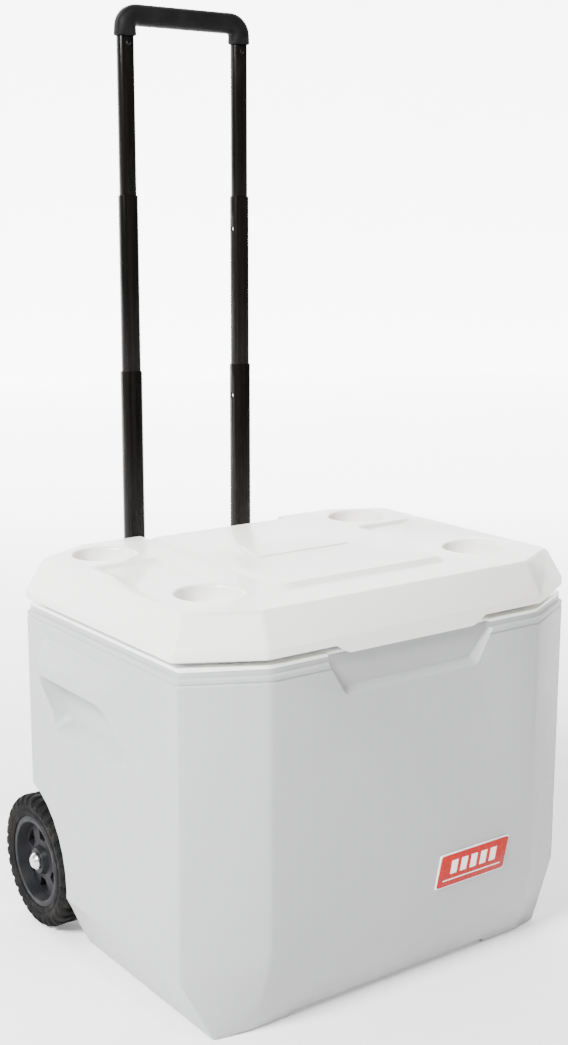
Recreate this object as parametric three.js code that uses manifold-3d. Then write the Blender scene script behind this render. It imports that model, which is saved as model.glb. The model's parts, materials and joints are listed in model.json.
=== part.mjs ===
// Wheeled hard cooler with a three stage telescoping handle.
// Millimetres, +Z up, the front faces -Y, the length runs along X. Rest: lid shut, handle fully out.

import * as THREE from 'three';
import { mergeVertices } from 'three/addons/utils/BufferGeometryUtils.js';
import Module from 'manifold-3d';

const wasm = await Module();
wasm.setup();

// ---- Driving dimensions -------------------------------------------------------------------------

const gap = 0.3;                    // clearance between pieces that touch

const lidLength = 575;
const lidWidth = 432;
const lidTop = 485;                 // height of the flat top
const lidBottom = 437;              // lower edge of the skirt
const lidBand = 10;                 // height of the upright band above the lower edge
const lidBevel = 21;                // how far the bevelled slopes lean in
const lidFacetX = 89;
const lidFacetY = 50;
const lidWall = 3;
const lidOverhang = 3.5;            // lid past the tub at each end
const lidSetback = 1;               // lid short of the tub at the front and back

const cupDiameter = 76;
const cupDepth = 21;
const cupLip = 3;
const cupInsetX = 91;               // cup axis in from the lid end
const cupInsetY = 100;              // cup axis in from the lid side, averaged over both rows
const cupShiftY = 16;               // both rows sit this far behind the middle

const panelRise = 5;
const panelHalf = 122;
const panelFront = 78;              // front edge of the raised panel, in from the lid front
const panelSlope = 8;
const notchHalf = 114;
const notchDepth = 56;              // how far the hand notch reaches in from the lid back
const plaqueLength = 140;
const plaqueWidth = 60;
const plaqueSlant = 18;
const plaqueX = 8;
const plaqueY = 18;
const dishEnd = 40;                 // shallow dish between two cups, in from the lid end
const dishLength = 97;
const dishFront = -58;
const dishBack = 80;
const panRimInset = 18;             // where the inner pan rests on the collar, in from the lid edge
const panCoverInset = 8;            // edge of the thin cover that closes the lid's foam from below
const panCover = 1.5;

const tubWall = 4;
const tubFacetX = 88;
const tubFacetY = 46;
const ledgeHeight = 420;            // top of the bead under the collar
const collarDrop = 7;               // top of the collar below the lid's lower edge
const collarInset = 4;
const endCrease = 76;               // height where the ends start to turn in
const frontCrease = 112;            // height where the front starts to turn in
const endInset = 38;                // how far the ends turn in at the ground
const frontInset = 33;              // and the front and back
const footHalfSpan = 148;           // half the width of the hollow between the two runners
const footHeight = 8;

const linerFloor = 45;
const linerWall = 2.5;
const linerCorner = 22;             // flat facet across each upright corner
const linerLedge = 216;             // height of the ledge over the wheel wells
const foamEnd = 46;                 // wall thickness at the ends, above the ledge
const foamSide = 45;
const ledgeStep = 35;               // how far the ledge reaches in at the ends
const rearStep = 17;                // and at the back

const wheelRadius = 85;
const wheelWidth = 46;
const wheelFaceInset = 6;           // outer face of the wheel, in from the end wall
const hubBack = 30;                 // axle line, in from the back wall
const wellRadius = 100;
const wellHeight = 116;
const wellToe = 12;                 // the well's foot stands behind its widest point
const wellClear = 4;                // well wall behind the inner face of the wheel
const axleRadius = 6;
const rimRadius = 58;
const stepHeight = 98;              // underside of the rear step above the axle
const stepDepth = 42;

const postHalfSpacing = 85;
const postStandoff = 33;            // tube axis behind the back wall
const tubeWall = 1.2;
const upperTube = { width: 21, depth: 15, corner: 6 };
const socketHeight = 1105;
const gripTop = 1143;
const gripThickness = 26;
const sleeveTop = 428;
const sleeveBottom = 104;
const lowerTop = 690;
const middleTop = 912;
const rivetDrop = 9;                // grip rivet below the end of the grip
const rivetRadius = 3.4;
const buttonDrop = 42;              // lock button below the mouth of the outer tube
const buttonRadius = 3;
const buttonTail = 24;              // tube left below its own lock button

const hingeX = 160;
const hingeHalf = 34;
const hingeRadius = 6.5;
const hingePin = 2.5;
const hingeClear = 0.5;             // hinge barrels below the lid's lower edge
const hingeBack = 8;                // hinge axis, in from the back wall

const gripHeight = 397;             // where the end grips leave the wall
const gripReach = 16;               // how far they stand out
const gripFront = -82;              // ends of the grip on the wall
const gripBack = 128;
const gripFrontLean = 39;           // how far the front cheek leans in towards the lip
const gripBackLean = 12;
const gripLipLow = 357;
const gripLipHigh = 371;
const gripCheek = 308;              // height where the cheeks end on the wall
const pocketDepth = 16;
const pocketBottom = 285;
const pocketTop = 344;

const recessHalfTop = 121;
const recessHalfBottom = 97;
const recessBottom = 380;
const recessDepth = 9;
const recessSlope = 8;              // the recess narrows inwards by this at its bottom
const recessFlare = 5;              // and by this at its ends
const lipHalfTop = 112;
const lipHalfBottom = 92;
const lipDrop = 10;

const badgeLength = 110;
const badgeHeight = 41;
const badgeSlant = 9;
const badgeBorder = 1.5;
const badgeProud = 3;
const badgeX = 97;
const badgeZ = 135;

const drainY = -113;
const drainHeight = 76;
const drainBore = 7;
const drainTube = 11;
const drainPocket = 27;
const drainRecess = 18;

// ---- Derived dimensions -------------------------------------------------------------------------

const lidX = lidLength / 2;
const lidY = lidWidth / 2;
const tubX = lidX - lidOverhang;
const tubY = lidY + lidSetback;
const hubY = tubY - hubBack;
const wheelOuter = tubX - wheelFaceInset;
const wheelInner = wheelOuter - wheelWidth;
const wellX = wheelInner - wellClear;
const postY = tubY + postStandoff;
const linerX = tubX - foamEnd;
const linerY = tubY - foamSide;
const hingeY = tubY - hingeBack;
const collarTop = lidBottom - collarDrop;
const hingeZ = lidBottom - hingeClear - hingeRadius;
const centreY = (hubY + wheelRadius - tubY - badgeProud) / 2;

const grown = (tube) => ({
  width: tube.width + 2 * tubeWall + 2 * gap,
  depth: tube.depth + 2 * tubeWall + 2 * gap,
  corner: tube.corner + tubeWall + gap,
});
const middleTube = grown(upperTube);
const lowerTube = grown(middleTube);
const sleeveTube = grown(lowerTube);

const sleeveButton = sleeveTop - buttonDrop;
const lowerButton = lowerTop - buttonDrop;
const middleButton = middleTop - buttonDrop;

// ---- Materials ----------------------------------------------------------------------------------

const finish = (color, roughness, metalness = 0) => ({ color, roughness, metalness });
const lidWhite = finish(0xf4f2ee, 0.45);
const tubWhite = finish(0xe9ebed, 0.5);
const linerWhite = finish(0xf5f6f6, 0.35);
const foamCream = finish(0xe9dcae, 0.95);
const tubeBlack = finish(0x17181a, 0.3, 0.4);
const plasticBlack = finish(0x1b1c1e, 0.6);
const gripBlack = finish(0x141517, 0.75);
const tyreBlack = finish(0x1d1e20, 0.85);
const rimBlack = finish(0x222427, 0.5);
const steel = finish(0xb9bcc0, 0.3, 1);
const badgeRed = finish(0xd63c2d, 0.4);
const badgeWhite = finish(0xf2f2f0, 0.4);
const rubberBlack = finish(0x101112, 0.8);

// ---- Geometry helpers ---------------------------------------------------------------------------

const X = new THREE.Vector3(1, 0, 0);
const Y = new THREE.Vector3(0, 1, 0);
const Z = new THREE.Vector3(0, 0, 1);
const toYZ = new THREE.Matrix4().makeBasis(Y, Z, X);
const toXZ = new THREE.Matrix4().makeBasis(X, Z, Y.clone().negate());

function solid(geometry) {
  const bare = new THREE.BufferGeometry();
  bare.setAttribute('position', geometry.getAttribute('position').clone());
  bare.setIndex(geometry.index ? geometry.index.clone() : null);
  const merged = mergeVertices(bare, 1e-4);
  return new wasm.Manifold(new wasm.Mesh({
    numProp: 3,
    vertProperties: new Float32Array(merged.getAttribute('position').array),
    triVerts: new Uint32Array(merged.index.array),
  }));
}

function skin(rings) {
  const count = rings[0].length;
  const last = (rings.length - 1) * count;
  const index = [];
  for (let r = 0; r < rings.length - 1; r += 1) {
    for (let k = 0; k < count; k += 1) {
      const a = r * count + k;
      const b = r * count + (k + 1) % count;
      index.push(a, b, b + count, a, b + count, a + count);
    }
  }
  for (let k = 1; k < count - 1; k += 1) {
    index.push(0, k + 1, k, last, last + k, last + k + 1);
  }
  const geometry = new THREE.BufferGeometry();
  geometry.setAttribute('position', new THREE.Float32BufferAttribute(
    rings.flat().flatMap((point) => point.toArray()), 3));
  geometry.setIndex(index);
  return geometry;
}

function blunted(corners, cut, steps) {
  const points = [];
  corners.forEach((corner, i) => {
    const before = corners[(i + corners.length - 1) % corners.length];
    const after = corners[(i + 1) % corners.length];
    const start = corner.clone().add(before.clone().sub(corner).setLength(cut));
    const end = corner.clone().add(after.clone().sub(corner).setLength(cut));
    for (let k = 0; k <= steps; k += 1) {
      const t = k / steps;
      const point = start.clone().multiplyScalar((1 - t) ** 2);
      point.addScaledVector(corner, 2 * t * (1 - t)).addScaledVector(end, t ** 2);
      points.push(point);
    }
  });
  return points;
}

const corner2 = (x, y) => new THREE.Vector2(x, y);
const rectangle = (x0, x1, y0, y1) => [corner2(x0, y0), corner2(x1, y0), corner2(x1, y1), corner2(x0, y1)];
const lift = (loop, z) => loop.map((point) => new THREE.Vector3(point.x, point.y, z));
const loft = (levels) => skin(levels.map(([loop, z]) => lift(loop, z)));
const prism = (loop, z0, z1) => loft([[loop, z0], [loop, z1]]);

function block(x0, x1, y0, y1, z0, z1) {
  return new THREE.BoxGeometry(x1 - x0, y1 - y0, z1 - z0)
    .translate((x0 + x1) / 2, (y0 + y1) / 2, (z0 + z1) / 2);
}

function rodX(radius, x0, x1, y, z, sides = 16) {
  return new THREE.CylinderGeometry(radius, radius, x1 - x0, sides)
    .rotateZ(Math.PI / 2).translate((x0 + x1) / 2, y, z);
}

function rodY(radius, y0, y1, x, z, sides = 8) {
  return new THREE.CylinderGeometry(radius, radius, y1 - y0, sides).translate(x, (y0 + y1) / 2, z);
}

// A turned body: profile points are (radius, distance along +X), counted from the given centre.
function turnedX(profile, y, z, sides = 30) {
  const loop = [...profile, profile[0]].map(([radius, along]) => corner2(radius, along));
  return new THREE.LatheGeometry(loop, sides).rotateZ(-Math.PI / 2).translate(0, y, z);
}

function mirrored(geometry) {
  const copy = geometry.index ? geometry.toNonIndexed() : geometry.clone();
  copy.scale(-1, 1, 1);
  const position = copy.getAttribute('position');
  for (let i = 0; i < position.count; i += 3) {
    const second = new THREE.Vector3().fromBufferAttribute(position, i + 1);
    const third = new THREE.Vector3().fromBufferAttribute(position, i + 2);
    position.setXYZ(i + 1, third.x, third.y, third.z);
    position.setXYZ(i + 2, second.x, second.y, second.z);
  }
  return copy;
}

const union = (...parts) => parts.reduce((sum, part) => sum.add(part));
const bothEnds = (geometry) => union(solid(geometry), solid(mirrored(geometry)));

const group = new THREE.Group();
group.name = 'wheeled_cooler';

function facets(result) {
  if (result.isBufferGeometry) {
    return result.index ? result.toNonIndexed() : result.clone();
  }
  const mesh = result.getMesh();
  const geometry = new THREE.BufferGeometry();
  const points = new Float32Array(mesh.numVert * 3);
  for (let i = 0; i < mesh.numVert; i += 1) {
    points.set(mesh.vertProperties.subarray(i * mesh.numProp, i * mesh.numProp + 3), i * 3);
  }
  geometry.setAttribute('position', new THREE.BufferAttribute(points, 3));
  geometry.setIndex(new THREE.BufferAttribute(new Uint32Array(mesh.triVerts), 1));
  return geometry.toNonIndexed();
}

function put(name, result, look) {
  const geometry = facets(result);
  geometry.deleteAttribute('uv');
  geometry.deleteAttribute('normal');
  geometry.translate(0, -centreY, 0);
  geometry.computeVertexNormals();
  const mesh = new THREE.Mesh(geometry, new THREE.MeshStandardMaterial(look));
  mesh.name = name;
  group.add(mesh);
}

function putPair(name, result, look) {
  const right = facets(result);
  put(`${name}_right`, right, look);
  put(`${name}_left`, mirrored(right), look);
}

// ---- Tub ----------------------------------------------------------------------------------------

function facetted(halfX, halfY, facetX, facetY, soften) {
  const quadrant = [corner2(halfX, halfY - facetY), corner2(halfX - facetX, halfY)];
  const [a, b] = quadrant;
  const corners = [
    a, b, corner2(-b.x, b.y), corner2(-a.x, a.y),
    corner2(-a.x, -a.y), corner2(-b.x, -b.y), corner2(b.x, -b.y), corner2(a.x, -a.y),
  ];
  return blunted(corners, soften, 2);
}

// Outline of the tub at one height: upright above the creases, turning in towards the ground.
function tubOutline(z, inset) {
  const endTurn = Math.max(0, 1 - z / endCrease);
  const frontTurn = Math.max(0, 1 - z / frontCrease) ** 1.7;
  const halfX = tubX - endInset * endTurn;
  const halfY = tubY - frontInset * frontTurn;
  const creaseY = tubY - tubFacetY + 6 * endTurn;
  const creaseX = tubX - tubFacetX + 8 * Math.max(0, 1 - z / frontCrease);
  const shrink = 0.6 * inset;
  return facetted(halfX - inset, halfY - inset, halfX - creaseX - shrink + 0.2, halfY - creaseY - shrink, 4);
}

function tubForm(inset) {
  const heights = [inset, inset + 3, 28, 53, endCrease, 94, frontCrease];
  const levels = heights.map((z, i) => [tubOutline(z, i === 0 ? inset + 3 : inset), z]);
  if (inset === 0) {
    levels.push([tubOutline(ledgeHeight - 9, 0), ledgeHeight - 9]);
    levels.push([tubOutline(ledgeHeight - 7, 1.5), ledgeHeight - 7]);
    levels.push([tubOutline(ledgeHeight - 5, 0), ledgeHeight - 5]);
    levels.push([tubOutline(ledgeHeight - 1.5, 0), ledgeHeight - 1.5]);
    levels.push([tubOutline(ledgeHeight, 1.5), ledgeHeight]);
    levels.push([tubOutline(ledgeHeight, collarInset), ledgeHeight + 0.5]);
    levels.push([tubOutline(collarTop, collarInset), collarTop - 4]);
  } else {
    const neck = inset + collarInset - 0.5;
    levels.push([tubOutline(ledgeHeight - 18, inset), ledgeHeight - 18]);
    levels.push([tubOutline(ledgeHeight - 12, neck), ledgeHeight - 12]);
    levels.push([tubOutline(collarTop, neck), collarTop + 5]);
  }
  return solid(loft(levels));
}

// Everything hollowed out of the outside of the tub, enlarged by grow on every side.
function tubHollows(grow) {
  const arch = [];
  for (let k = 0; k < 32; k += 1) {
    const angle = 2 * Math.PI * k / 32;
    arch.push(corner2(hubY + (wellRadius + grow) * Math.cos(angle),
      wheelRadius + (wellHeight + grow) * Math.sin(angle)));
  }
  const well = prism(arch, wellX - grow, tubX + 40).applyMatrix4(toYZ);
  const wellFoot = block(
    wellX - grow, tubX + 40, hubY - wellRadius + wellToe - grow, tubY + 40, -20, 62);
  const axleStep = block(-tubX - 40, tubX + 40, tubY - stepDepth - grow, tubY + 40, -20, stepHeight + grow);
  const belly = prism(
    [corner2(-footHalfSpan - 8, -20), corner2(footHalfSpan + 8, -20),
      corner2(footHalfSpan, footHeight + grow), corner2(-footHalfSpan, footHeight + grow)],
    -tubY - 40, tubY + 40).applyMatrix4(toXZ);

  const pocket = skin([
    pocketRing(tubX - pocketDepth - grow, 1, grow), pocketRing(tubX, 0, grow),
    pocketRing(tubX + gripReach, -1, grow), pocketRing(tubX + gripReach + 20, -1, grow + 6)]);

  const drain = rodX(drainPocket + grow, tubX - drainRecess - grow, tubX + 40, drainY, drainHeight, 32);
  return union(
    bothEnds(well), bothEnds(wellFoot), solid(axleStep), solid(belly), latchRecess(grow),
    bothEnds(pocket), solid(drain));
}

// Outline of the latch recess at one depth; narrow is 1 at its back and 0 at the wall.
function recessRing(y, narrow, grow) {
  const bottom = recessBottom + narrow * recessSlope - grow;
  const top = collarTop + 20;
  const low = recessHalfBottom - narrow * recessFlare + grow;
  const high = recessHalfTop - narrow * recessFlare + grow;
  const corners = [
    corner2(-low, bottom), corner2(low, bottom), corner2(high, ledgeHeight),
    corner2(high, top), corner2(-high, top), corner2(-high, ledgeHeight),
  ];
  return blunted(corners, 5, 3).map((point) => new THREE.Vector3(point.x, y, point.y));
}

const latchRecess = (grow) => solid(skin([
  recessRing(-tubY + recessDepth + grow, 1, grow), recessRing(-tubY, 0, grow),
  recessRing(-tubY - 20, 0, grow)]));

// Outline of the finger pocket; narrow is 1 at its back, 0 at the wall and -1 at the lip.
function pocketRing(x, narrow, grow) {
  const inside = Math.max(0, narrow);
  const outside = Math.max(0, -narrow);
  const front = gripFront + 12 + 9 * inside + (gripFrontLean - 6) * outside - grow;
  const back = gripBack - 16 - 9 * inside + 0.3 * gripBackLean * outside + grow;
  const bottom = pocketBottom + 13 * inside - 15 * outside - grow;
  const top = pocketTop - 4 * inside + (gripLipLow - pocketTop) * outside + grow;
  const corners = [
    corner2(front + 8, bottom), corner2(back - 8, bottom), corner2(back, top), corner2(front, top)];
  return blunted(corners, 14, 4).map((point) => new THREE.Vector3(x, point.x, point.y));
}

// The hood over the finger pocket: a sloping roof between two cheeks that run down the wall.
function gripHood() {
  const wall = rectangle(gripFront, gripBack, gripCheek, gripHeight);
  const tip = rectangle(gripFront + gripFrontLean, gripBack - gripBackLean, gripLipLow, gripLipHigh);
  const ring = (loop, cut, x) => blunted(loop, cut, 4).map((point) => new THREE.Vector3(x, point.x, point.y));
  return skin([ring(wall, 10, tubX - 2), ring(wall, 10, tubX), ring(tip, 6, tubX + gripReach)]);
}

const hingePocket = bothEnds(block(
  hingeX - hingeHalf, hingeX + hingeHalf, hingeY - 10, tubY + 10, ledgeHeight - 2, collarTop + 20));

function linerForm(inset, bottom) {
  const low = blunted(rectangle(
    -linerX + ledgeStep + inset, linerX - ledgeStep - inset,
    -linerY + inset, linerY - rearStep - inset), linerCorner, 1);
  const high = blunted(rectangle(
    -linerX + inset, linerX - inset, -linerY + inset, linerY - inset), linerCorner, 1);
  const toe = blunted(rectangle(
    -linerX + ledgeStep + inset + 7, linerX - ledgeStep - inset - 7,
    -linerY + inset + 7, linerY - rearStep - inset - 7), linerCorner - 3, 1);
  return loft([
    [toe, bottom], [low, bottom + 7], [low, linerLedge + inset / 2], [high, linerLedge + 30 + inset / 2],
    [high, collarTop + 10],
  ]);
}

const drainHole = solid(rodX(
  drainTube + gap, linerX - ledgeStep - 12, tubX + 40, drainY, drainHeight, 32));

function screwPlaces(bracketLow, bracketHigh) {
  const xs = [-postHalfSpacing - 30, -postHalfSpacing + 30, postHalfSpacing - 30, postHalfSpacing + 30];
  return xs.map((x) => [x, (bracketLow + bracketHigh) / 2]);
}

const upperBracket = [384, 418];
const lowerBracket = [100, 136];
const screws = [...screwPlaces(...upperBracket), ...screwPlaces(...lowerBracket)];
const screwHoles = union(...screws.map(([x, z]) => solid(rodY(2 + gap, tubY - 25, tubY + 20, x, z))));

const innerForm = tubForm(tubWall).subtract(tubHollows(tubWall));
const shellMouth = solid(block(-tubX, tubX, -tubY, tubY, collarTop - 4, collarTop + 30));
const tubShell = tubForm(0).add(bothEnds(gripHood())).subtract(tubHollows(0))
  .subtract(innerForm).subtract(shellMouth).subtract(hingePocket).subtract(drainHole).subtract(screwHoles);
put('tub_shell', tubShell, tubWhite);

const flange = solid(prism(tubOutline(collarTop, collarInset), collarTop - 4 + gap, collarTop));
const linerOuter = solid(linerForm(0, linerFloor));
const linerInner = solid(linerForm(linerWall, linerFloor + linerWall));
const linerCap = solid(block(-tubX, tubX, -tubY, tubY, collarTop, collarTop + 40));
put('tub_liner', linerOuter.add(flange).subtract(linerCap).subtract(linerInner)
  .subtract(latchRecess(gap)).subtract(hingePocket).subtract(drainHole), linerWhite);

const foamTop = solid(block(-tubX, tubX, -tubY, tubY, collarTop - 4, collarTop + 40));
const tubFoam = tubForm(tubWall + gap).subtract(tubHollows(tubWall + gap))
  .subtract(solid(linerForm(-gap, linerFloor - gap))).subtract(foamTop).subtract(hingePocket)
  .subtract(drainHole).subtract(screwHoles);
put('tub_foam', tubFoam, foamCream);

// ---- Lid ----------------------------------------------------------------------------------------

function lidForm(inset) {
  const outline = (lean, drop) => facetted(
    lidX - lean - inset, lidY - lean - inset,
    lidFacetX - 0.7 * lean - 0.6 * inset - drop, lidFacetY - 0.55 * lean - 0.6 * inset - drop, 4);
  const bottom = inset === 0 ? lidBottom : lidBottom - 20;
  return solid(loft([
    [outline(0.8, 0), bottom], [outline(0, 0), bottom + 1.5], [outline(0, 0), lidBottom + lidBand],
    [outline(lidBevel - 2, 0), lidTop - 3 - inset], [outline(lidBevel + 2, 0), lidTop - inset],
  ]));
}

const cupPlaces = [-1, 1].flatMap((side) => [-1, 1].map((row) => [
  side * (lidX - cupInsetX), row * (lidY - cupInsetY) + cupShiftY]));

function cupHollow(x, y, grow) {
  const radius = cupDiameter / 2 + grow;
  const floor = lidTop - cupDepth - grow;
  const mouth = lidTop - grow;
  const profile = [
    corner2(0, floor), corner2(radius - 3, floor), corner2(radius, floor + 3),
    corner2(radius, mouth - cupLip), corner2(radius + 1, mouth - cupLip / 3),
    corner2(radius + cupLip, mouth), corner2(radius + cupLip, lidTop + 20), corner2(0, lidTop + 20),
  ];
  return solid(new THREE.LatheGeometry(profile, grow ? 16 : 28).rotateX(Math.PI / 2).translate(x, y, 0));
}

function sideDish(grow) {
  const inner = lidX - dishEnd - dishLength;
  const low = rectangle(inner + 6, lidX - dishEnd - 12, dishFront + 6, dishBack - 6);
  const high = rectangle(inner, lidX - dishEnd, dishFront, dishBack);
  const spread = (loop, cut) => blunted(loop, cut, 3);
  return loft([
    [spread(low, 8), lidTop - 4 - grow], [spread(high, 10), lidTop + 1 - grow], [spread(high, 10), lidTop + 30]]);
}

function backNotch(grow) {
  const reach = lidY - notchDepth - grow;
  const shelf = lidBottom + lidBand;
  const ring = (y, half) => blunted([
    corner2(-half - grow, lidY + 30), corner2(-half - grow + 6, y), corner2(half + grow - 6, y),
    corner2(half + grow, lidY + 30)], 12, 4);
  return loft([
    [ring(reach + 32, notchHalf - 4), shelf - grow], [ring(reach, notchHalf), lidTop],
    [ring(reach - 2, notchHalf), lidTop + 30]]);
}

function lidPanel() {
  const front = -lidY + panelFront;
  const base = rectangle(-panelHalf, panelHalf, front, lidY - notchDepth + 6);
  const crown = rectangle(
    -panelHalf + panelSlope, panelHalf - panelSlope, front + panelSlope, lidY - notchDepth - panelSlope + 6);
  return loft([[blunted(base, 16, 4), lidTop - 2], [blunted(base, 16, 4), lidTop],
    [blunted(crown, 12, 4), lidTop + panelRise]]);
}

function lidPlaque() {
  const slanted = (half, depth, slant) => [
    corner2(-half - slant, -depth), corner2(half - slant, -depth),
    corner2(half + slant, depth), corner2(-half + slant, depth)];
  const shape = (shrink) => blunted(
    slanted(plaqueLength / 2 - shrink, plaqueWidth / 2 - shrink, plaqueSlant / 2), 5, 2);
  return loft([[shape(0), lidTop + panelRise - 1], [shape(0), lidTop + panelRise + 0.2],
    [shape(1.4), lidTop + panelRise + 1.4]]).translate(plaqueX, plaqueY, 0);
}

function frontLip() {
  const corners = [
    corner2(-lipHalfBottom, lidBottom - lipDrop), corner2(lipHalfBottom, lidBottom - lipDrop),
    corner2(lipHalfTop, lidBottom + 2), corner2(-lipHalfTop, lidBottom + 2)];
  return prism(blunted(corners, 5, 3), lidY - lidWall, lidY).applyMatrix4(toXZ);
}

const lidInside = (inset) => lidForm(inset)
  .subtract(union(...cupPlaces.map(([x, y]) => cupHollow(x, y, inset))))
  .subtract(bothEnds(sideDish(inset)))
  .subtract(solid(backNotch(inset)));
const lidOutside = lidForm(0).add(solid(lidPanel())).add(solid(lidPlaque()))
  .subtract(union(...cupPlaces.map(([x, y]) => cupHollow(x, y, 0))))
  .subtract(bothEnds(sideDish(0)))
  .subtract(solid(backNotch(0)));
put('lid_shell', lidOutside.subtract(lidInside(lidWall)).add(solid(frontLip())), lidWhite);

const plugX = linerX - linerWall - 4.5;
const plugY = linerY - linerWall - 4.5;
const plugBottom = collarTop - 22;
const panTop = lidBottom - gap;
const plug = (inset, bottom) => {
  const side = blunted(rectangle(
    -plugX + inset, plugX - inset, -plugY + inset, plugY - inset), linerCorner, 1);
  const toe = blunted(rectangle(
    -plugX + inset + 5, plugX - inset - 5, -plugY + inset + 5, plugY - inset - 5), linerCorner - 3, 1);
  return loft([[toe, bottom], [side, bottom + 5], [side, panTop + 10]]);
};
const panOutline = (inset) => facetted(
  lidX - inset, lidY - inset, lidFacetX - 0.6 * inset, lidFacetY - 0.6 * inset, 4);
const panCap = solid(block(-lidX, lidX, -lidY, lidY, panTop, panTop + 30));
const lidPan = solid(prism(panOutline(panCoverInset), panTop - panCover, panTop))
  .add(solid(prism(panOutline(panRimInset), collarTop + gap, panTop))).add(solid(plug(0, plugBottom)))
  .subtract(panCap).subtract(solid(plug(linerWall, plugBottom + linerWall))).subtract(hingePocket);
put('lid_pan', lidPan, linerWhite);

const foamFloor = solid(block(-lidX, lidX, -lidY, lidY, lidBottom - 80, lidBottom));
const lidFoam = lidInside(lidWall + gap).subtract(foamFloor)
  .add(solid(plug(linerWall + gap, plugBottom + linerWall + gap)).subtract(solid(block(
    -lidX, lidX, -lidY, lidY, lidBottom + 1, lidTop + 40))));
put('lid_foam', lidFoam, foamCream);

// ---- Lid hinges ---------------------------------------------------------------------------------

const knuckle = hingeHalf - 1;
const knuckleMid = knuckle / 3;
const pinBore = solid(rodX(hingePin + gap, hingeX - hingeHalf, hingeX + hingeHalf, hingeY, hingeZ));
const hingeBase = solid(block(
  hingeX - knuckle, hingeX + knuckle, hingeY - 9, tubY - 1, ledgeHeight - 2 + gap, ledgeHeight + 1))
  .add(solid(block(hingeX - knuckleMid, hingeX + knuckleMid, hingeY - 4, hingeY + 4, ledgeHeight, hingeZ)))
  .add(solid(rodX(hingeRadius, hingeX - knuckleMid, hingeX + knuckleMid, hingeY, hingeZ)))
  .subtract(pinBore);
putPair('hinge_base', hingeBase, tubWhite);

const leafUnder = hingeZ + 3.5;
const leafWeb = (side) => {
  const x0 = hingeX + side * (knuckle + knuckleMid + 0.5) / 2;
  const half = (knuckle - knuckleMid - 0.5) / 2;
  return solid(block(x0 - half, x0 + half, hingeY - 9, hingeY, leafUnder, panTop))
    .add(solid(rodX(hingeRadius, x0 - half, x0 + half, hingeY, hingeZ)));
};
const hingeLeaf = solid(block(
  hingeX - knuckle, hingeX + knuckle, hingeY - 9.4, hingeY - 7.4, leafUnder, panTop))
  .add(leafWeb(-1)).add(leafWeb(1)).subtract(pinBore);
putPair('hinge_leaf', hingeLeaf, tubWhite);
putPair('hinge_pin', rodX(hingePin, hingeX - knuckle, hingeX + knuckle, hingeY, hingeZ), steel);

// ---- Wheels and axle ----------------------------------------------------------------------------

const axleEnd = wheelOuter - 2;
put('axle', rodX(axleRadius, -axleEnd, axleEnd, hubY, wheelRadius, 24), steel);

const rimProfile = [
  [axleRadius + gap, wheelInner + 1], [16, wheelInner + 1], [18, wheelInner + 20], [48, wheelInner + 20],
  [51, wheelInner + 1], [rimRadius, wheelInner + 1], [rimRadius, wheelOuter - 2], [51, wheelOuter - 2],
  [47, wheelOuter - 15], [19, wheelOuter - 12], [16, wheelOuter - 5], [axleRadius + gap, wheelOuter - 5],
];
const rimSlots = [];
for (let k = 0; k < 6; k += 1) {
  const slot = [];
  for (let step = 0; step <= 4; step += 1) {
    const angle = (k + 0.22 + 0.14 * step) * Math.PI / 3;
    slot.push(corner2(43 * Math.cos(angle), 43 * Math.sin(angle)));
  }
  for (let step = 4; step >= 0; step -= 1) {
    const angle = (k + 0.3 + 0.1 * step) * Math.PI / 3;
    slot.push(corner2(26 * Math.cos(angle), 26 * Math.sin(angle)));
  }
  rimSlots.push(solid(prism(slot, wheelInner, wheelOuter).applyMatrix4(toYZ).translate(0, hubY, wheelRadius)));
}
putPair('wheel_rim', solid(turnedX(rimProfile, hubY, wheelRadius)).subtract(union(...rimSlots)), rimBlack);

const bead = rimRadius + gap;
const tyreProfile = [
  [bead, wheelInner + 1], [wheelRadius - 7, wheelInner],
  [wheelRadius - 2, wheelInner + 4], [wheelRadius, wheelInner + 10], [wheelRadius, wheelInner + 19],
  [wheelRadius - 2.5, wheelInner + 20], [wheelRadius - 2.5, wheelOuter - 20],
  [wheelRadius, wheelOuter - 19], [wheelRadius, wheelOuter - 10], [wheelRadius - 2, wheelOuter - 4],
  [wheelRadius - 7, wheelOuter], [bead, wheelOuter - 1],
];
putPair('wheel_tyre', turnedX(tyreProfile, hubY, wheelRadius, 36), tyreBlack);

const capProfile = [
  [0, wheelOuter - 2 + gap], [axleRadius + gap, wheelOuter - 2 + gap], [axleRadius + gap, wheelOuter - 5 + gap],
  [11, wheelOuter - 5 + gap], [11, wheelOuter - 2], [7, wheelOuter + 2], [0, wheelOuter + 3],
];
putPair('axle_cap', solid(new THREE.LatheGeometry(
  capProfile.map(([radius, along]) => corner2(radius, along)), 20)
  .rotateZ(-Math.PI / 2).translate(0, hubY, wheelRadius)), steel);

const washerProfile = [
  [axleRadius + gap, wellX + gap], [13, wellX + gap], [13, wheelInner + 1 - gap],
  [axleRadius + gap, wheelInner + 1 - gap]];
putPair('axle_washer', turnedX(washerProfile, hubY, wheelRadius, 20), steel);

const saddle = solid(block(wellX - 20, wellX, hubY - 11.5, hubY + 12, wheelRadius - 13, stepHeight - gap))
  .subtract(solid(rodX(axleRadius + gap, wellX - 30, wellX + 10, hubY, wheelRadius, 24)));
putPair('axle_saddle', saddle, plasticBlack);

// ---- Telescoping handle -------------------------------------------------------------------------

const tubeLoop = (tube, grow) => blunted(rectangle(
  -tube.width / 2 - grow, tube.width / 2 + grow, -tube.depth / 2 - grow, tube.depth / 2 + grow),
tube.corner + grow, 3);
const tubeCore = (tube, grow, low, high) => solid(
  prism(tubeLoop(tube, grow), low, high).translate(postHalfSpacing, postY, 0));
const innerFace = (tube) => postHalfSpacing - tube.width / 2;
const buttonHole = (z) => solid(rodX(buttonRadius + gap, 40, postHalfSpacing, postY, z, 12));

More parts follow.
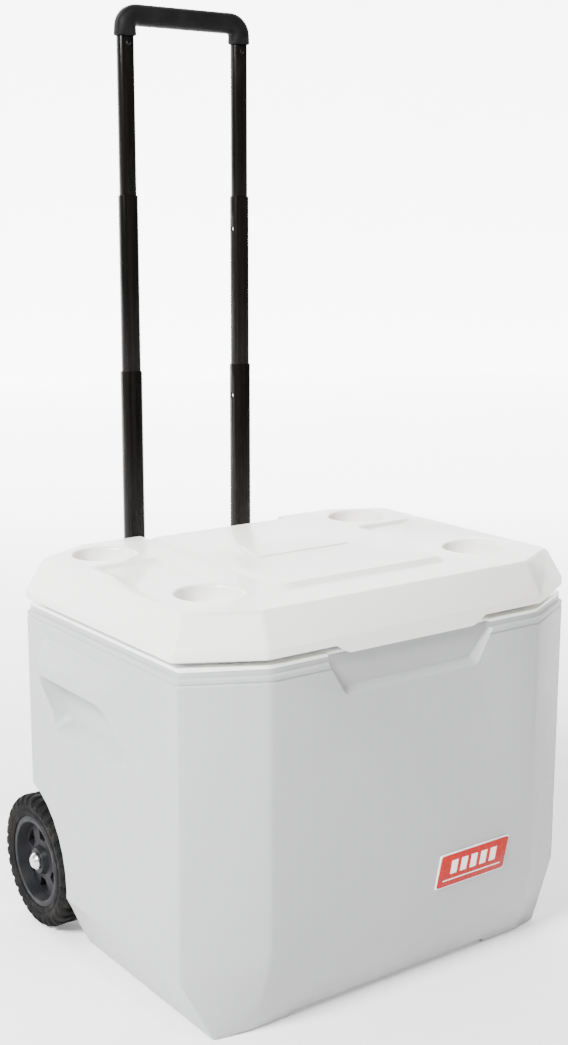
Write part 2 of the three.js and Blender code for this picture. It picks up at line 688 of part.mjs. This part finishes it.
function stage(tube, low, high, holes) {
  const bores = union(...holes.map(buttonHole));
  return tubeCore(tube, 0, low, high).subtract(tubeCore(tube, -tubeWall, low - 5, high + 5)).subtract(bores);
}

putPair('handle_sleeve', stage(sleeveTube, sleeveBottom + gap, sleeveTop, [sleeveButton]), tubeBlack);
putPair('handle_tube_lower', stage(
  lowerTube, sleeveButton - buttonTail, lowerTop, [sleeveButton, lowerButton]), tubeBlack);
putPair('handle_tube_middle', stage(
  middleTube, lowerButton - buttonTail - 2, middleTop, [lowerButton, middleButton]), tubeBlack);
putPair('handle_tube_upper', stage(
  upperTube, middleButton - buttonTail + 4, socketHeight + 16, [middleButton]), tubeBlack);

// A lock button sits in the wall of the inner tube and shows through the hole of the outer one.
function lockButton(tube, z) {
  const face = innerFace(tube);
  const profile = [
    [0, face], [buttonRadius - 0.4, face], [buttonRadius, face + 0.4], [buttonRadius, face + 3],
    [buttonRadius + 1.4, face + 3], [buttonRadius + 1.4, face + 4.2], [0, face + 4.2],
  ];
  const loop = profile.map(([radius, along]) => corner2(radius, along));
  return solid(new THREE.LatheGeometry(loop, 8).rotateZ(-Math.PI / 2).translate(0, postY, z));
}

putPair('lock_button_low', lockButton(lowerTube, sleeveButton), steel);
putPair('lock_button_middle', lockButton(middleTube, lowerButton), steel);
putPair('lock_button_high', lockButton(upperTube, middleButton), steel);

const bend = gripThickness / 2 + 1;

// Cross section of the grip at one station: half size in the plane of the handle, half size along Y.
function gripRing(x, z, angle, half, halfDepth) {
  const travel = new THREE.Vector3(Math.cos(angle), 0, Math.sin(angle));
  const across = new THREE.Vector3().crossVectors(Y, travel);
  const loop = blunted(rectangle(-half, half, -halfDepth, halfDepth), 0.78 * Math.min(half, halfDepth), 3);
  return loop.map((point) => new THREE.Vector3(x, postY, z)
    .addScaledVector(across, point.x).addScaledVector(Y, point.y));
}

function gripStations() {
  const half = gripThickness / 2;
  const socketX = upperTube.width / 2 + gap + 2.6;
  const socketY = upperTube.depth / 2 + gap + 2.6;
  const base = gripTop - half - bend;
  const stations = [
    [-postHalfSpacing, socketHeight, Math.PI / 2, socketX, socketY],
    [-postHalfSpacing, socketHeight + 6, Math.PI / 2, socketX + 0.4, socketY + 1.2],
  ];
  for (let k = 0; k <= 5; k += 1) {
    const turn = Math.PI / 2 * (1 - k / 5);
    stations.push([
      -postHalfSpacing + bend * (1 - Math.sin(turn)), base + bend * Math.cos(turn),
      turn, half + 0.4 * Math.sin(turn), half - 0.8 * Math.sin(turn)]);
  }
  stations.push([-postHalfSpacing + bend + 12, gripTop - half, 0, half - 0.6, half]);
  const back = stations.map(([x, z, angle, ...size]) => [-x, z, -angle, ...size]).reverse();
  return [...stations, ...back];
}

const socketBores = bothEnds(
  prism(tubeLoop(upperTube, gap), socketHeight - 5, socketHeight + 16 + gap)
    .translate(postHalfSpacing, postY, 0));
put('handle_grip', solid(skin(gripStations().map((station) => gripRing(...station))))
  .subtract(socketBores), gripBlack);

function turnedY(profile, x, z, sides = 8) {
  const loop = profile.map(([radius, along]) => corner2(radius, along));
  return new THREE.LatheGeometry(loop, sides).translate(x, 0, z);
}

const tubeFront = postY - upperTube.depth / 2;
putPair('grip_rivet', solid(turnedY([
  [0, tubeFront - 1.8], [2.2, tubeFront - 1.6], [rivetRadius, tubeFront - gap - 0.2],
  [rivetRadius, tubeFront - gap], [0, tubeFront - gap],
], postHalfSpacing, socketHeight - rivetDrop)), tubeBlack);

// ---- Handle brackets ----------------------------------------------------------------------------

const plateBack = tubY + 4 + gap;

function bracket([low, high], holeBottom) {
  const reach = postHalfSpacing + 39;
  const sleeveX = sleeveTube.width / 2 + 4.5;
  const sleeveY = sleeveTube.depth / 2 + 4;
  const plate = blunted(rectangle(-reach, reach, low, high), 5, 2);
  const clamp = blunted(rectangle(-sleeveX, sleeveX, tubY + gap, postY + sleeveY), 5, 3);
  const holes = [-1, 1].map((side) => solid(
    prism(tubeLoop(sleeveTube, gap), holeBottom, high + 5).translate(side * postHalfSpacing, postY, 0)));
  return solid(prism(plate, -plateBack, -tubY - gap).applyMatrix4(toXZ))
    .add(solid(prism(clamp, low, high).translate(postHalfSpacing, 0, 0)))
    .add(solid(prism(clamp, low, high).translate(-postHalfSpacing, 0, 0)))
    .subtract(union(...holes)).subtract(screwHoles);
}

put('handle_bracket_upper', bracket(upperBracket, upperBracket[0] - 5), plasticBlack);
put('handle_bracket_lower', bracket(lowerBracket, sleeveBottom), plasticBlack);

screws.forEach(([x, z], i) => {
  const seat = plateBack + gap;
  const profile = [
    [0, tubY - 12], [2, tubY - 12], [2, seat], [5, seat], [5, seat + 1.4], [3.4, seat + 2.8], [0, seat + 2.8]];
  put(`bracket_screw_${i + 1}`, solid(turnedY(profile, x, z)), steel);
});

// ---- Badge --------------------------------------------------------------------------------------

function badgeLayer(shrink, back, front) {
  const halfX = badgeLength / 2 - shrink;
  const halfZ = badgeHeight / 2 - shrink;
  const lean = badgeSlant / 2;
  const corners = [
    corner2(-halfX - lean, -halfZ), corner2(halfX - lean, -halfZ),
    corner2(halfX + lean, halfZ), corner2(-halfX + lean, halfZ)];
  return prism(blunted(corners, 3, 3), back, front).applyMatrix4(toXZ).translate(badgeX, -tubY, badgeZ);
}

put('badge_plate', badgeLayer(0, gap, 2), badgeWhite);
put('badge_inlay', badgeLayer(badgeBorder, 2 + gap, badgeProud), badgeRed);

// ---- Drain --------------------------------------------------------------------------------------

const tubWallInside = linerX - ledgeStep - linerWall;
const pocketFloor = tubX - drainRecess;
put('drain_spout', turnedX([
  [drainBore, tubWallInside - 3], [18, tubWallInside - 3], [18, tubWallInside - gap],
  [drainTube, tubWallInside - gap], [drainTube, pocketFloor + 13], [drainBore, pocketFloor + 13],
], drainY, drainHeight, 20), plasticBlack);
put('drain_nut', solid(rodX(18, pocketFloor + gap, pocketFloor + 4, drainY, drainHeight, 6))
  .subtract(solid(rodX(drainTube + gap, pocketFloor - 5, pocketFloor + 9, drainY, drainHeight))), plasticBlack);
put('drain_gasket', turnedX([
  [drainTube + gap, pocketFloor + 4 + gap], [15, pocketFloor + 4 + gap], [15, pocketFloor + 6],
  [drainTube + gap, pocketFloor + 6],
], drainY, drainHeight, 20), rubberBlack);
const capBody = solid(new THREE.LatheGeometry([
  corner2(0, pocketFloor + 13 + gap), corner2(drainTube + gap, pocketFloor + 13 + gap),
  corner2(drainTube + gap, pocketFloor + 6 + gap), corner2(16, pocketFloor + 6 + gap),
  corner2(16, pocketFloor + 14), corner2(14.5, pocketFloor + 15.5), corner2(0, pocketFloor + 15.5),
], 20).rotateZ(-Math.PI / 2).translate(0, drainY, drainHeight));
const capWing = solid(block(
  pocketFloor + 15, pocketFloor + 17.6, drainY - 11, drainY + 11, drainHeight - 2, drainHeight + 2));
put('drain_cap', capBody.add(capWing), plasticBlack);

export default group;
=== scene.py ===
import json
import math

import bpy
from mathutils import Euler, Matrix, Vector


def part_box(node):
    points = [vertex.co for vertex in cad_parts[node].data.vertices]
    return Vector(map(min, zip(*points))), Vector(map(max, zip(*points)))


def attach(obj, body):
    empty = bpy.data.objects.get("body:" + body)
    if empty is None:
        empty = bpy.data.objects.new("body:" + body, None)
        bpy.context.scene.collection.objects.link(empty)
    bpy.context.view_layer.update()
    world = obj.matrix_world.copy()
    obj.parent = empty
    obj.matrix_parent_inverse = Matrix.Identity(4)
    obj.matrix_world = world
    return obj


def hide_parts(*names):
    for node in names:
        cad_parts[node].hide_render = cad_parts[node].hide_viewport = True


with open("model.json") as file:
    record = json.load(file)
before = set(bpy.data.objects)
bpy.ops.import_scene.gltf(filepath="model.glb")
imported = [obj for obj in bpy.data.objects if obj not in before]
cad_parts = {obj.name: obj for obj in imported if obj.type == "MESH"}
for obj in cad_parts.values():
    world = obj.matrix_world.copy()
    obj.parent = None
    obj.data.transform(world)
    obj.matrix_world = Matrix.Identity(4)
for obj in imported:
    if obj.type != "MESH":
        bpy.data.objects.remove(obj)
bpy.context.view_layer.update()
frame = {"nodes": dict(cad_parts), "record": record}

nodes = frame["nodes"]


# ---- Camera -------------------------------------------------------------------------------------

CAMERA_PLACE = (-1.0593, -1.4494, 0.8937)
CAMERA_AZIMUTH = -36.07
CAMERA_ELEVATION = 11.82
CAMERA_ROLL = 0.12
CAMERA_LENS = 51.35


def add_camera():
    data = bpy.data.cameras.new("camera")
    data.lens = CAMERA_LENS
    data.sensor_width = 36
    data.clip_end = 60
    camera = bpy.data.objects.new("camera", data)
    tilt = Euler((math.radians(90 - CAMERA_ELEVATION), 0, math.radians(CAMERA_AZIMUTH)), "XYZ")
    roll = Matrix.Rotation(math.radians(CAMERA_ROLL), 4, "Z")
    camera.matrix_world = Matrix.Translation(CAMERA_PLACE) @ tilt.to_matrix().to_4x4() @ roll
    bpy.context.collection.objects.link(camera)
    bpy.context.scene.camera = camera


# ---- Materials ----------------------------------------------------------------------------------

NOISE_ROUGHNESS = 0.55
SAW_SHIFT = 20.5                    # whole teeth keep the value positive, the half centres a tooth on zero
BADGE_LEAN = 9 / 41                 # how far the badge's ends lean for each unit of height
BADGE_BARS = 5
BADGE_BAR_PITCH = 0.0155
BADGE_LINE_HALF = 0.046


class Look:
    """A material built from nodes, with positions taken from the object's own coordinates."""

    def __init__(self, name, roughness, metallic=0.0, coat=0.0, specular=0.5):
        self.material = bpy.data.materials.new(name)
        self.material.use_nodes = True
        self.tree = self.material.node_tree
        self.shader = self.tree.nodes["Principled BSDF"]
        self.shader.inputs["Roughness"].default_value = roughness
        self.shader.inputs["Metallic"].default_value = metallic
        self.shader.inputs["Coat Weight"].default_value = coat
        self.shader.inputs["Specular IOR Level"].default_value = specular
        self.where = self.tree.nodes.new("ShaderNodeTexCoord").outputs["Object"]
        self.normal = None

    def node(self, kind, **settings):
        made = self.tree.nodes.new(kind)
        for key, value in settings.items():
            setattr(made, key, value)
        return made

    def link(self, source, target):
        self.tree.links.new(source, target)

    def stretched(self, scale):
        mapping = self.node("ShaderNodeMapping")
        mapping.inputs["Scale"].default_value = scale
        self.link(self.where, mapping.inputs["Vector"])
        return mapping.outputs["Vector"]

    def noise(self, scale, detail=3.0, stretch=None):
        made = self.node("ShaderNodeTexNoise")
        made.inputs["Scale"].default_value = scale
        made.inputs["Detail"].default_value = detail
        made.inputs["Roughness"].default_value = NOISE_ROUGHNESS
        self.link(self.stretched(stretch) if stretch else self.where, made.inputs["Vector"])
        return made.outputs["Fac"]

    def cells(self, scale):
        made = self.node("ShaderNodeTexVoronoi")
        made.inputs["Scale"].default_value = scale
        self.link(self.where, made.inputs["Vector"])
        return made.outputs["Distance"]

    def span(self, value, low, high, to_low, to_high):
        made = self.node("ShaderNodeMapRange")
        for socket, number in zip(("From Min", "From Max", "To Min", "To Max"), (low, high, to_low, to_high)):
            made.inputs[socket].default_value = number
        self.link(value, made.inputs["Value"])
        return made.outputs["Result"]

    def mixed(self, factor, first, second):
        made = self.node("ShaderNodeMix", data_type="RGBA")
        self.link(factor, made.inputs["Factor"])
        for socket, colour in ((made.inputs[6], first), (made.inputs[7], second)):
            if hasattr(colour, "is_linked"):
                self.link(colour, socket)
            else:
                socket.default_value = (*colour, 1)
        return made.outputs[2]

    def colour(self, output):
        self.link(output, self.shader.inputs["Base Color"])

    def roughness(self, output):
        self.link(output, self.shader.inputs["Roughness"])

    def bump(self, height, strength, distance):
        made = self.node("ShaderNodeBump")
        made.inputs["Strength"].default_value = strength
        made.inputs["Distance"].default_value = distance
        self.link(height, made.inputs["Height"])
        if self.normal:
            self.link(self.normal, made.inputs["Normal"])
        self.normal = made.outputs["Normal"]
        self.link(self.normal, self.shader.inputs["Normal"])

    def height_from(self, low, high):
        """One at the low height and below, fading to zero at the high one."""
        split = self.node("ShaderNodeSeparateXYZ")
        self.link(self.where, split.inputs["Vector"])
        return self.span(split.outputs["Z"], low, high, 1, 0)

    def with_number(self, operation, value, number):
        made = self.node("ShaderNodeMath", operation=operation)
        self.link(value, made.inputs[0])
        made.inputs[1].default_value = number
        return made.outputs[0]

    def shifted(self, value, amount):
        return self.with_number("ADD", value, amount)

    def sheared(self, along, height, slope):
        made = self.node("ShaderNodeMath", operation="ADD")
        self.link(along, made.inputs[0])
        self.link(self.with_number("MULTIPLY", height, slope), made.inputs[1])
        return made.outputs[0]

    def saw(self, value, pitch):
        """Rises from zero to one over each pitch, and is a half where the value is zero."""
        moved = self.with_number("ADD", value, SAW_SHIFT * pitch)
        return self.with_number("FRACT", self.with_number("DIVIDE", moved, pitch), 0)

    def band(self, value, middle, half):
        """One within half of the middle, zero outside."""
        away = self.with_number("ABSOLUTE", self.with_number("SUBTRACT", value, middle), 0)
        return self.with_number("LESS_THAN", away, half)

    def times(self, first, second):
        made = self.node("ShaderNodeMath", operation="MULTIPLY")
        self.link(first, made.inputs[0])
        self.link(second, made.inputs[1])
        return made.outputs[0]


def moulded(name, light, shade, dust, roughness, coat=0.05, grain=0.12):
    """Satin moulded plastic: fine stipple, faint clouding, fine scuffs and dust towards the ground."""
    look = Look(name, roughness, coat=coat)
    cloud = look.span(look.noise(5.5, 4), 0.35, 0.68, 0, 1)
    base = look.mixed(cloud, light, shade)
    low = look.times(look.height_from(0.0, 0.16), look.span(look.noise(26, 5), 0.42, 0.75, 0, 0.55))
    look.colour(look.mixed(low, base, dust))
    scuff = look.noise(38, 6, (1, 1, 5))
    look.roughness(look.span(scuff, 0.3, 0.75, roughness - 0.05, roughness + 0.11))
    look.bump(look.noise(1500, 2), grain, 0.0002)
    look.bump(look.noise(9, 2), 0.06, 0.002)
    return look.material


def black_plastic(name, tone, roughness, stipple, strength):
    look = Look(name, roughness, specular=0.05)
    patch = look.span(look.noise(30, 5), 0.35, 0.7, 0, 1)
    look.colour(look.mixed(patch, tone, tuple(1.7 * v for v in tone)))
    look.roughness(look.span(look.noise(70, 5), 0.3, 0.7, roughness - 0.07, roughness + 0.1))
    look.bump(look.noise(stipple, 3), strength, 0.0003)
    return look.material


def tube_metal(name):
    look = Look(name, 0.2, specular=0.1)
    streak = look.noise(210, 4, (1, 1, 0.02))
    tint = look.span(streak, 0.35, 0.68, 0, 1)
    wear = look.span(look.noise(60, 6, (1, 1, 0.15)), 0.6, 0.82, 0, 0.35)
    coating = look.mixed(tint, (0.0025, 0.0025, 0.0025), (0.006, 0.005, 0.0045))
    look.colour(look.mixed(wear, coating, (0.02, 0.017, 0.015)))
    look.roughness(look.span(streak, 0.3, 0.7, 0.14, 0.24))
    look.bump(streak, 0.08, 0.0003)
    return look.material


def plated(name):
    look = Look(name, 0.3, metallic=1.0)
    patch = look.span(look.noise(90, 5), 0.35, 0.7, 0, 1)
    look.colour(look.mixed(patch, (0.62, 0.62, 0.63), (0.42, 0.42, 0.44)))
    look.roughness(look.span(look.noise(300, 4, (6, 1, 1)), 0.3, 0.7, 0.2, 0.42))
    look.bump(look.noise(800, 3, (5, 1, 1)), 0.1, 0.0002)
    return look.material


def tyre_rubber(name):
    look = Look(name, 0.75, specular=0.05)
    dusty = look.span(look.noise(45, 6), 0.45, 0.75, 0, 0.6)
    look.colour(look.mixed(dusty, (0.006, 0.006, 0.006), (0.022, 0.020, 0.018)))
    look.roughness(look.span(look.noise(120, 4), 0.3, 0.7, 0.62, 0.9))
    look.bump(look.cells(700), 0.45, 0.0007)
    look.bump(look.noise(240, 5), 0.35, 0.0008)
    return look.material


def foam_core(name):
    look = Look(name, 0.95, specular=0.2)
    look.colour(look.mixed(look.noise(140, 5), (0.80, 0.70, 0.42), (0.90, 0.83, 0.60)))
    look.bump(look.cells(900), 0.6, 0.0008)
    return look.material


def glossy(name, tone, darker):
    look = Look(name, 0.25, coat=0.4)
    look.colour(look.mixed(look.span(look.noise(60, 4), 0.35, 0.7, 0, 1), tone, darker))
    look.roughness(look.span(look.noise(160, 4), 0.3, 0.7, 0.2, 0.36))
    look.bump(look.noise(900, 2), 0.06, 0.0002)
    return look.material


def badge_enamel(name):
    """Red enamel with a plain printed motif: a leaning block of bars over one thin line."""
    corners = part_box("badge_inlay")
    centre = [(low + high) / 2 for low, high in zip(*corners)]
    look = Look(name, 0.22, coat=0.1, specular=0.15)
    patch = look.span(look.noise(60, 4), 0.35, 0.7, 0, 1)
    red = look.mixed(patch, (0.40, 0.005, 0.002), (0.33, 0.004, 0.002))
    split = look.node("ShaderNodeSeparateXYZ")
    look.link(look.where, split.inputs["Vector"])
    along = look.shifted(split.outputs["X"], -centre[0])
    height = look.shifted(split.outputs["Z"], -centre[2])
    leaning = look.sheared(along, height, -BADGE_LEAN)
    bars = look.times(
        look.band(look.saw(leaning, BADGE_BAR_PITCH), 0.5, 0.32),
        look.times(look.band(height, 0.003, 0.008), look.band(leaning, 0, BADGE_BARS / 2 * BADGE_BAR_PITCH)))
    line = look.times(look.band(height, -0.0115, 0.0007), look.band(leaning, 0, BADGE_LINE_HALF))
    printed = look.node("ShaderNodeMath", operation="MAXIMUM")
    look.link(bars, printed.inputs[0])
    look.link(line, printed.inputs[1])
    look.colour(look.mixed(printed.outputs[0], red, (0.86, 0.80, 0.76)))
    look.roughness(look.span(look.noise(160, 4), 0.3, 0.7, 0.18, 0.32))
    look.bump(look.noise(900, 2), 0.06, 0.0002)
    return look.material


LOOKS = {
    "lid_white": moulded(
        "lid_plastic", (0.83, 0.82, 0.79), (0.79, 0.78, 0.755), (0.66, 0.64, 0.60), 0.36, 0.15),
    # The tub is the same white plastic as the lid and liner. All three of its tones are darkened to paint in
    # the shade that falls on the tub.
    "tub_white": moulded(
        "tub_plastic_painted_shade", (0.375, 0.38, 0.387), (0.355, 0.36, 0.368), (0.32, 0.315, 0.30), 0.42),
    "liner_white": moulded(
        "liner_plastic", (0.86, 0.87, 0.87), (0.82, 0.83, 0.84), (0.75, 0.75, 0.74), 0.3, 0.2, 0.05),
    "foam": foam_core("foam_core"),
    "tube_black": tube_metal("black_tube"),
    "black_plastic": black_plastic("black_bracket", (0.008, 0.008, 0.008), 0.5, 1100, 0.2),
    "grip_black": black_plastic("soft_grip", (0.005, 0.005, 0.005), 0.5, 1600, 0.3),
    "tyre_black": tyre_rubber("tyre_rubber"),
    "rim_black": black_plastic("rim_plastic", (0.008, 0.008, 0.009), 0.36, 900, 0.12),
    "steel": plated("plated_steel"),
    "badge_red": badge_enamel("badge_red"),
    "badge_white": glossy("badge_white", (0.86, 0.86, 0.85), (0.80, 0.80, 0.79)),
    "seal_rubber": tyre_rubber("seal_rubber"),
}
slot_of = {part["node"]: part["material_slot"] for part in frame["record"]["subparts"]}


def dress(piece, slot):
    piece.data.materials.clear()
    piece.data.materials.append(LOOKS[slot])


# ---- Smoothing of the carried-over nodes --------------------------------------------------------

SHARP_ANGLE = 28                    # degrees; edges steeper than this stay sharp
ROUNDED_ANGLE = 26                  # degrees; edges steeper than this are rounded
FLAT_ANGLE = 0.7                    # degrees; faces closer than this are joined
WELD_DISTANCE = 0.00002
EDGE_ROUNDING = {"lid_shell": 0.0016, "tub_shell": 0.0014, "badge_plate": 0.0004, "badge_inlay": 0.00025}
OTHER_ROUNDING = 0.0004


def smoothing_group():
    group = bpy.data.node_groups.new("smooth_by_angle", "GeometryNodeTree")
    group.interface.new_socket("Geometry", in_out="INPUT", socket_type="NodeSocketGeometry")
    group.interface.new_socket("Geometry", in_out="OUTPUT", socket_type="NodeSocketGeometry")
    start = group.nodes.new("NodeGroupInput")
    end = group.nodes.new("NodeGroupOutput")
    forget = group.nodes.new("GeometryNodeRemoveAttribute")
    forget.inputs["Name"].default_value = "custom_normal"
    faces = group.nodes.new("GeometryNodeSetShadeSmooth")
    faces.domain = "FACE"
    edges = group.nodes.new("GeometryNodeSetShadeSmooth")
    edges.domain = "EDGE"
    edges.inputs["Shade Smooth"].default_value = False
    angle = group.nodes.new("GeometryNodeInputMeshEdgeAngle")
    steep = group.nodes.new("FunctionNodeCompare")
    steep.data_type = "FLOAT"
    steep.operation = "GREATER_THAN"
    steep.inputs["B"].default_value = math.radians(SHARP_ANGLE)
    link = group.links.new
    link(start.outputs[0], forget.inputs["Geometry"])
    link(forget.outputs["Geometry"], faces.inputs["Geometry"])
    link(faces.outputs["Geometry"], edges.inputs["Geometry"])
    link(angle.outputs["Unsigned Angle"], steep.inputs["A"])
    link(steep.outputs["Result"], edges.inputs["Selection"])
    link(edges.outputs["Geometry"], end.inputs[0])
    return group


SMOOTHING = smoothing_group()


def refine(piece, rounding):
    weld = piece.modifiers.new("weld", "WELD")
    weld.merge_threshold = WELD_DISTANCE
    flatten = piece.modifiers.new("flat_faces", "DECIMATE")
    flatten.decimate_type = "DISSOLVE"
    flatten.angle_limit = math.radians(FLAT_ANGLE)
    bevel = piece.modifiers.new("edges", "BEVEL")
    bevel.width = rounding
    bevel.segments = 3
    bevel.limit_method = "ANGLE"
    bevel.angle_limit = math.radians(ROUNDED_ANGLE)
    bevel.use_clamp_overlap = True
    smooth = piece.modifiers.new("smooth", "NODES")
    smooth.node_group = SMOOTHING


for name, piece in nodes.items():
    dress(piece, slot_of[name])
    refine(piece, EDGE_ROUNDING.get(name, OTHER_ROUNDING))

# ---- Pieces made here ---------------------------------------------------------------------------


def mesh_piece(name, rings, closed, slot, node, body):
    """A skin over rings of equal count; a closed one joins up with itself, an open one is capped."""
    count = len(rings[0])
    faces = []
    for r in range(len(rings) if closed else len(rings) - 1):
        here = r * count
        there = ((r + 1) % len(rings)) * count
        for k in range(count):
            after = (k + 1) % count
            faces.append((here + k, here + after, there + after, there + k))
    if not closed:
        faces.append(tuple(reversed(range(count))))
        faces.append(tuple(range(count * (len(rings) - 1), count * len(rings))))
    data = bpy.data.meshes.new(name)
    data.from_pydata([point for ring in rings for point in ring], [], faces)
    data.validate()
    data.shade_smooth()
    piece = bpy.data.objects.new(name, data)
    bpy.context.collection.objects.link(piece)
    piece.data.materials.append(LOOKS[slot])
    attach(piece, body)
    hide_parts(node)
    smooth = piece.modifiers.new("smooth", "NODES")
    smooth.node_group = SMOOTHING


TREAD_BLOCKS = 34
STEPS_PER_BLOCK = 6
GROOVE_DEPTH = 0.0032
GROOVE_SHARE = 0.3                  # part of each block's pitch that the groove takes


def tyre_profile(radius, bead, half):
    """Points (radius, across, groove share) from the inner bead round the tread to the outer bead."""
    outer = [
        (bead, half - 0.0012, 0), (bead + 0.0022, half - 0.0004, 0), (bead + 0.006, half - 0.0002, 0),
        (bead + 0.0075, half - 0.0011, 0), (bead + 0.009, half - 0.0003, 0),
        (radius - 0.0125, half - 0.0001, 0), (radius - 0.0115, half - 0.0001, 0.45),
        (radius - 0.007, half - 0.0006, 0.6), (radius - 0.0035, half - 0.0024, 0.9),
        (radius - 0.0012, half - 0.0052, 1), (radius - 0.0001, half - 0.0095, 1),
        (radius - 0.0001, half * 0.2, 1), (radius - 0.0006, half * 0.14, 0.5),
        (radius - 0.0028, half * 0.1, 0),
    ]
    inner = [(distance, -across, -share) for distance, across, share in outer]
    return inner + outer[::-1]


def groove(step, share):
    """How deep the tread is cut at this step; the two halves of the tread are half a block apart."""
    if share == 0:
        return 0
    place = (step / STEPS_PER_BLOCK + (0.5 if share < 0 else 0)) % 1
    return abs(share) * GROOVE_DEPTH if place < GROOVE_SHARE else 0


def build_tyre(side):
    node = f"wheel_tyre_{side}"
    low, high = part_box(node)
    rim_low, rim_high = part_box(f"wheel_rim_{side}")
    middle = [(a + b) / 2 for a, b in zip(low, high)]
    radius = (high[2] - low[2]) / 2
    bead = (rim_high[2] - rim_low[2]) / 2 + 0.0003
    half = (high[0] - low[0]) / 2
    steps = TREAD_BLOCKS * STEPS_PER_BLOCK
    rings = []
    for step in range(steps):
        angle = math.tau * step / steps
        ring = []
        for distance, across, share in tyre_profile(radius, bead, half):
            cut = groove(step, share)
            reach = distance - cut * (1 if abs(share) > 0.8 else 0.25)
            inset = cut * (0 if abs(share) > 0.95 else 0.75)
            along = across - math.copysign(inset, across)
            ring.append((
                middle[0] + along, middle[1] + reach * math.cos(angle), middle[2] + reach * math.sin(angle)))
        rings.append(ring)
    mesh_piece(f"tyre_{side}", rings, True, "tyre_black", node, f"wheel_{side}")


def rounded(half_across, half_deep, power, count=40):
    """A rounded rectangle as a superellipse, as (across, deep) points."""
    points = []
    for k in range(count):
        turn = math.tau * k / count
        c, s = math.cos(turn), math.sin(turn)
        points.append((
            math.copysign(half_across * abs(c) ** (2 / power), c),
            math.copysign(half_deep * abs(s) ** (2 / power), s)))
    return points


LEG_STEPS = 6
BEND_STEPS = 12
BAR_STEPS = 8
GRIP_POWER = 2.5                    # how square the grip's section is; two is an ellipse


def build_grip():
    """Half the loop as stations from one socket up, round the bend and along the bar, then its mirror."""
    low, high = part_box("handle_grip")
    tube_low, tube_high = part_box("handle_tube_upper_right")
    post = (tube_low[0] + tube_high[0]) / 2
    deep_middle = (low[1] + high[1]) / 2
    half = (high[1] - low[1]) / 2 - 0.0001
    socket = ((tube_high[0] - tube_low[0]) / 2 + 0.0005, (tube_high[1] - tube_low[1]) / 2 + 0.0005)
    mouth = (socket[0] + 0.0024, socket[1] + 0.0024)
    bend = half + 0.0025
    base = high[2] - half - bend
    stations = [
        (post, tube_high[2] + 0.0004, 0, *socket, 4.5), (post, low[2] + 0.0008, 0, *socket, 4.5),
        (post, low[2], 0, socket[0] + 0.0006, socket[1] + 0.0006, 4.2),
        (post, low[2], 0, mouth[0] - 0.0008, mouth[1] - 0.0008, 3.4), (post, low[2] + 0.0009, 0, *mouth, 3.2),
    ]
    for k in range(1, LEG_STEPS + 1):
        share = k / LEG_STEPS
        ease = share * share * (3 - 2 * share)
        stations.append((
            post, low[2] + 0.0009 + (base - low[2] - 0.0009) * share, 0,
            mouth[0] + (half - mouth[0]) * ease, mouth[1] + (half - mouth[1]) * ease, 3.2 - 0.7 * ease))
    for k in range(1, BEND_STEPS + 1):
        turn = math.pi / 2 * k / BEND_STEPS
        stations.append((
            post - bend * (1 - math.cos(turn)), base + bend * math.sin(turn), turn, half, half, GRIP_POWER))
    across = post - bend
    for k in range(1, BAR_STEPS):
        stations.append((across * (1 - k / BAR_STEPS), high[2] - half, math.pi / 2, half, half, GRIP_POWER))
    whole = stations + [(0, high[2] - half, math.pi / 2, half, half, GRIP_POWER)]
    whole += [(-x, z, math.pi - turn, *shape) for x, z, turn, *shape in reversed(stations)]
    rings = []
    for x, z, turn, half_across, half_deep, power in whole:
        rings.append([
            (x + a * math.cos(turn), deep_middle + d, z + a * math.sin(turn))
            for a, d in rounded(half_across, half_deep, power)])
    mesh_piece("grip", rings, False, "grip_black", "handle_grip", "handle_upper")


for side in ("left", "right"):
    build_tyre(side)
build_grip()

# ---- Studio -------------------------------------------------------------------------------------

BEHIND = (0.59, 0.81, 0)            # level direction away from the camera, past the object


def add_light(name, place, aim, size, power, colour):
    data = bpy.data.lights.new(name, "AREA")
    data.shape = "DISK"
    data.size = size
    data.energy = power
    data.color = colour
    light = bpy.data.objects.new(name, data)
    light.location = place
    light.rotation_euler = (Vector(aim) - Vector(place)).to_track_quat("-Z", "Y").to_euler()
    bpy.context.collection.objects.link(light)


def stage_sheet(name, corners, near_glow, far_glow):
    """A pale sheet of the studio sweep that glows more the further it lies behind the object."""
    data = bpy.data.meshes.new(name)
    data.from_pydata(corners, [], [(0, 1, 2, 3)])
    sheet = bpy.data.objects.new(name, data)
    bpy.context.collection.objects.link(sheet)
    look = Look(name, 0.8, specular=0.1)
    tone = look.mixed(look.noise(2.0), (0.93, 0.93, 0.93), (0.91, 0.91, 0.915))
    look.colour(tone)
    look.link(tone, look.shader.inputs["Emission Color"])
    behind = look.node("ShaderNodeVectorMath", operation="DOT_PRODUCT")
    behind.inputs[1].default_value = BEHIND
    look.link(look.where, behind.inputs[0])
    glow = look.span(behind.outputs["Value"], 0.4, 3.0, near_glow, far_glow)
    look.link(glow, look.shader.inputs["Emission Strength"])
    sheet.data.materials.append(look.material)


def add_studio():
    world = bpy.data.worlds.new("studio")
    bpy.context.scene.world = world
    world.use_nodes = True
    world.node_tree.nodes["Background"].inputs["Color"].default_value = (1, 1, 1, 1)
    world.node_tree.nodes["Background"].inputs["Strength"].default_value = 0.15
    middle = (0, 0, 0.4)
    add_light("key", (-2.65, -0.68, 2.44), middle, 1.1, 366, (0.985, 0.99, 1))
    add_light("front", (-0.64, -1.76, 2.99), middle, 1.0, 75, (1, 0.985, 0.955))
    stage_sheet("floor", [(-14, -14, 0), (14, -14, 0), (14, 14, 0), (-14, 14, 0)], 0.3, 5.5)
    stage_sheet("backdrop", [(-6, 9, -0.5), (12, 2, -0.5), (12, 2, 9), (-6, 9, 9)], 5.5, 5.5)


add_camera()
add_studio()
